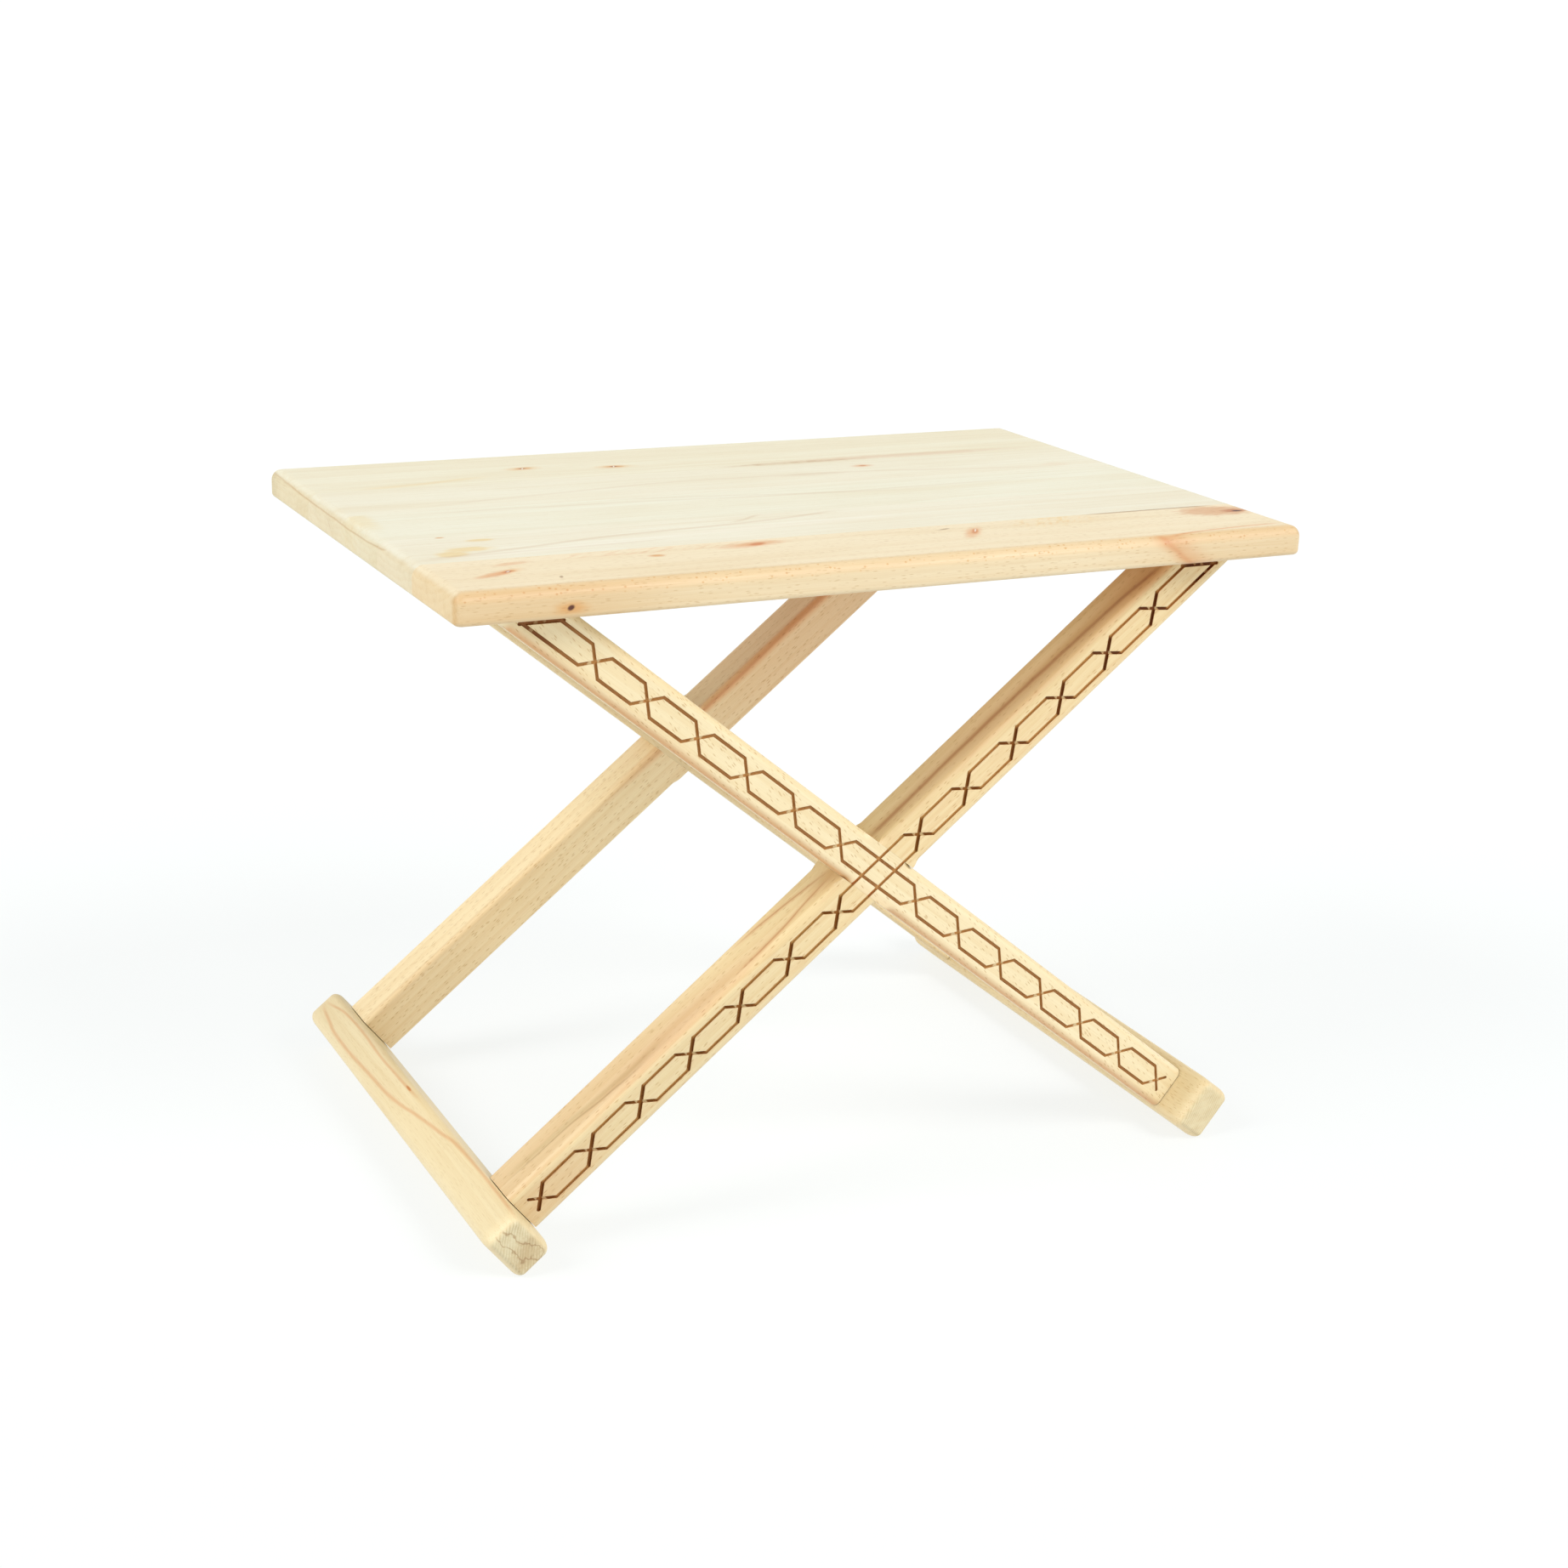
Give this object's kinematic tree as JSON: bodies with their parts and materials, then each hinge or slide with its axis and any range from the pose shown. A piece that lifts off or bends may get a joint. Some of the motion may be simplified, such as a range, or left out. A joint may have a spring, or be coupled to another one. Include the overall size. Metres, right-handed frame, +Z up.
{
  "type": "quran stand",
  "caption": "Low rectangular beech reading table on two rigid carved X frames with foot rails, for holding a Quran in front of someone seated on the floor.",
  "frame": {"origin": "on the floor, under the middle of the top", "axes": "+X along the length of the top, +Y from the front frame to the rear frame, +Z up"},
  "size_m": [0.54, 0.356, 0.403],
  "materials": {
    "top_beech": "pale beech, satin clear lacquer",
    "leg_beech": "pale beech, satin clear lacquer, brown carved grooves",
    "rail_beech": "pale beech, satin clear lacquer",
    "dowel_beech": "bare beech"
  },
  "bodies": {
    "root": {"top_stave_front": "top_beech", "top_stave_inner_front": "top_beech", "top_stave_middle": "top_beech", "top_stave_inner_rear": "top_beech", "top_stave_rear": "top_beech", "front_leg_rising": "leg_beech", "front_leg_falling": "leg_beech", "rear_leg_rising": "leg_beech", "rear_leg_falling": "leg_beech", "left_foot_rail": "rail_beech", "right_foot_rail": "rail_beech", "front_rising_top_dowel_outer": "dowel_beech", "front_rising_top_dowel_inner": "dowel_beech", "front_rising_foot_dowel_outer": "dowel_beech", "front_rising_foot_dowel_inner": "dowel_beech", "front_falling_top_dowel_outer": "dowel_beech", "front_falling_top_dowel_inner": "dowel_beech", "front_falling_foot_dowel_outer": "dowel_beech", "front_falling_foot_dowel_inner": "dowel_beech", "rear_rising_top_dowel_outer": "dowel_beech", "rear_rising_top_dowel_inner": "dowel_beech", "rear_rising_foot_dowel_outer": "dowel_beech", "rear_rising_foot_dowel_inner": "dowel_beech", "rear_falling_top_dowel_outer": "dowel_beech", "rear_falling_top_dowel_inner": "dowel_beech", "rear_falling_foot_dowel_outer": "dowel_beech", "rear_falling_foot_dowel_inner": "dowel_beech"}
  },
  "joints": []
}
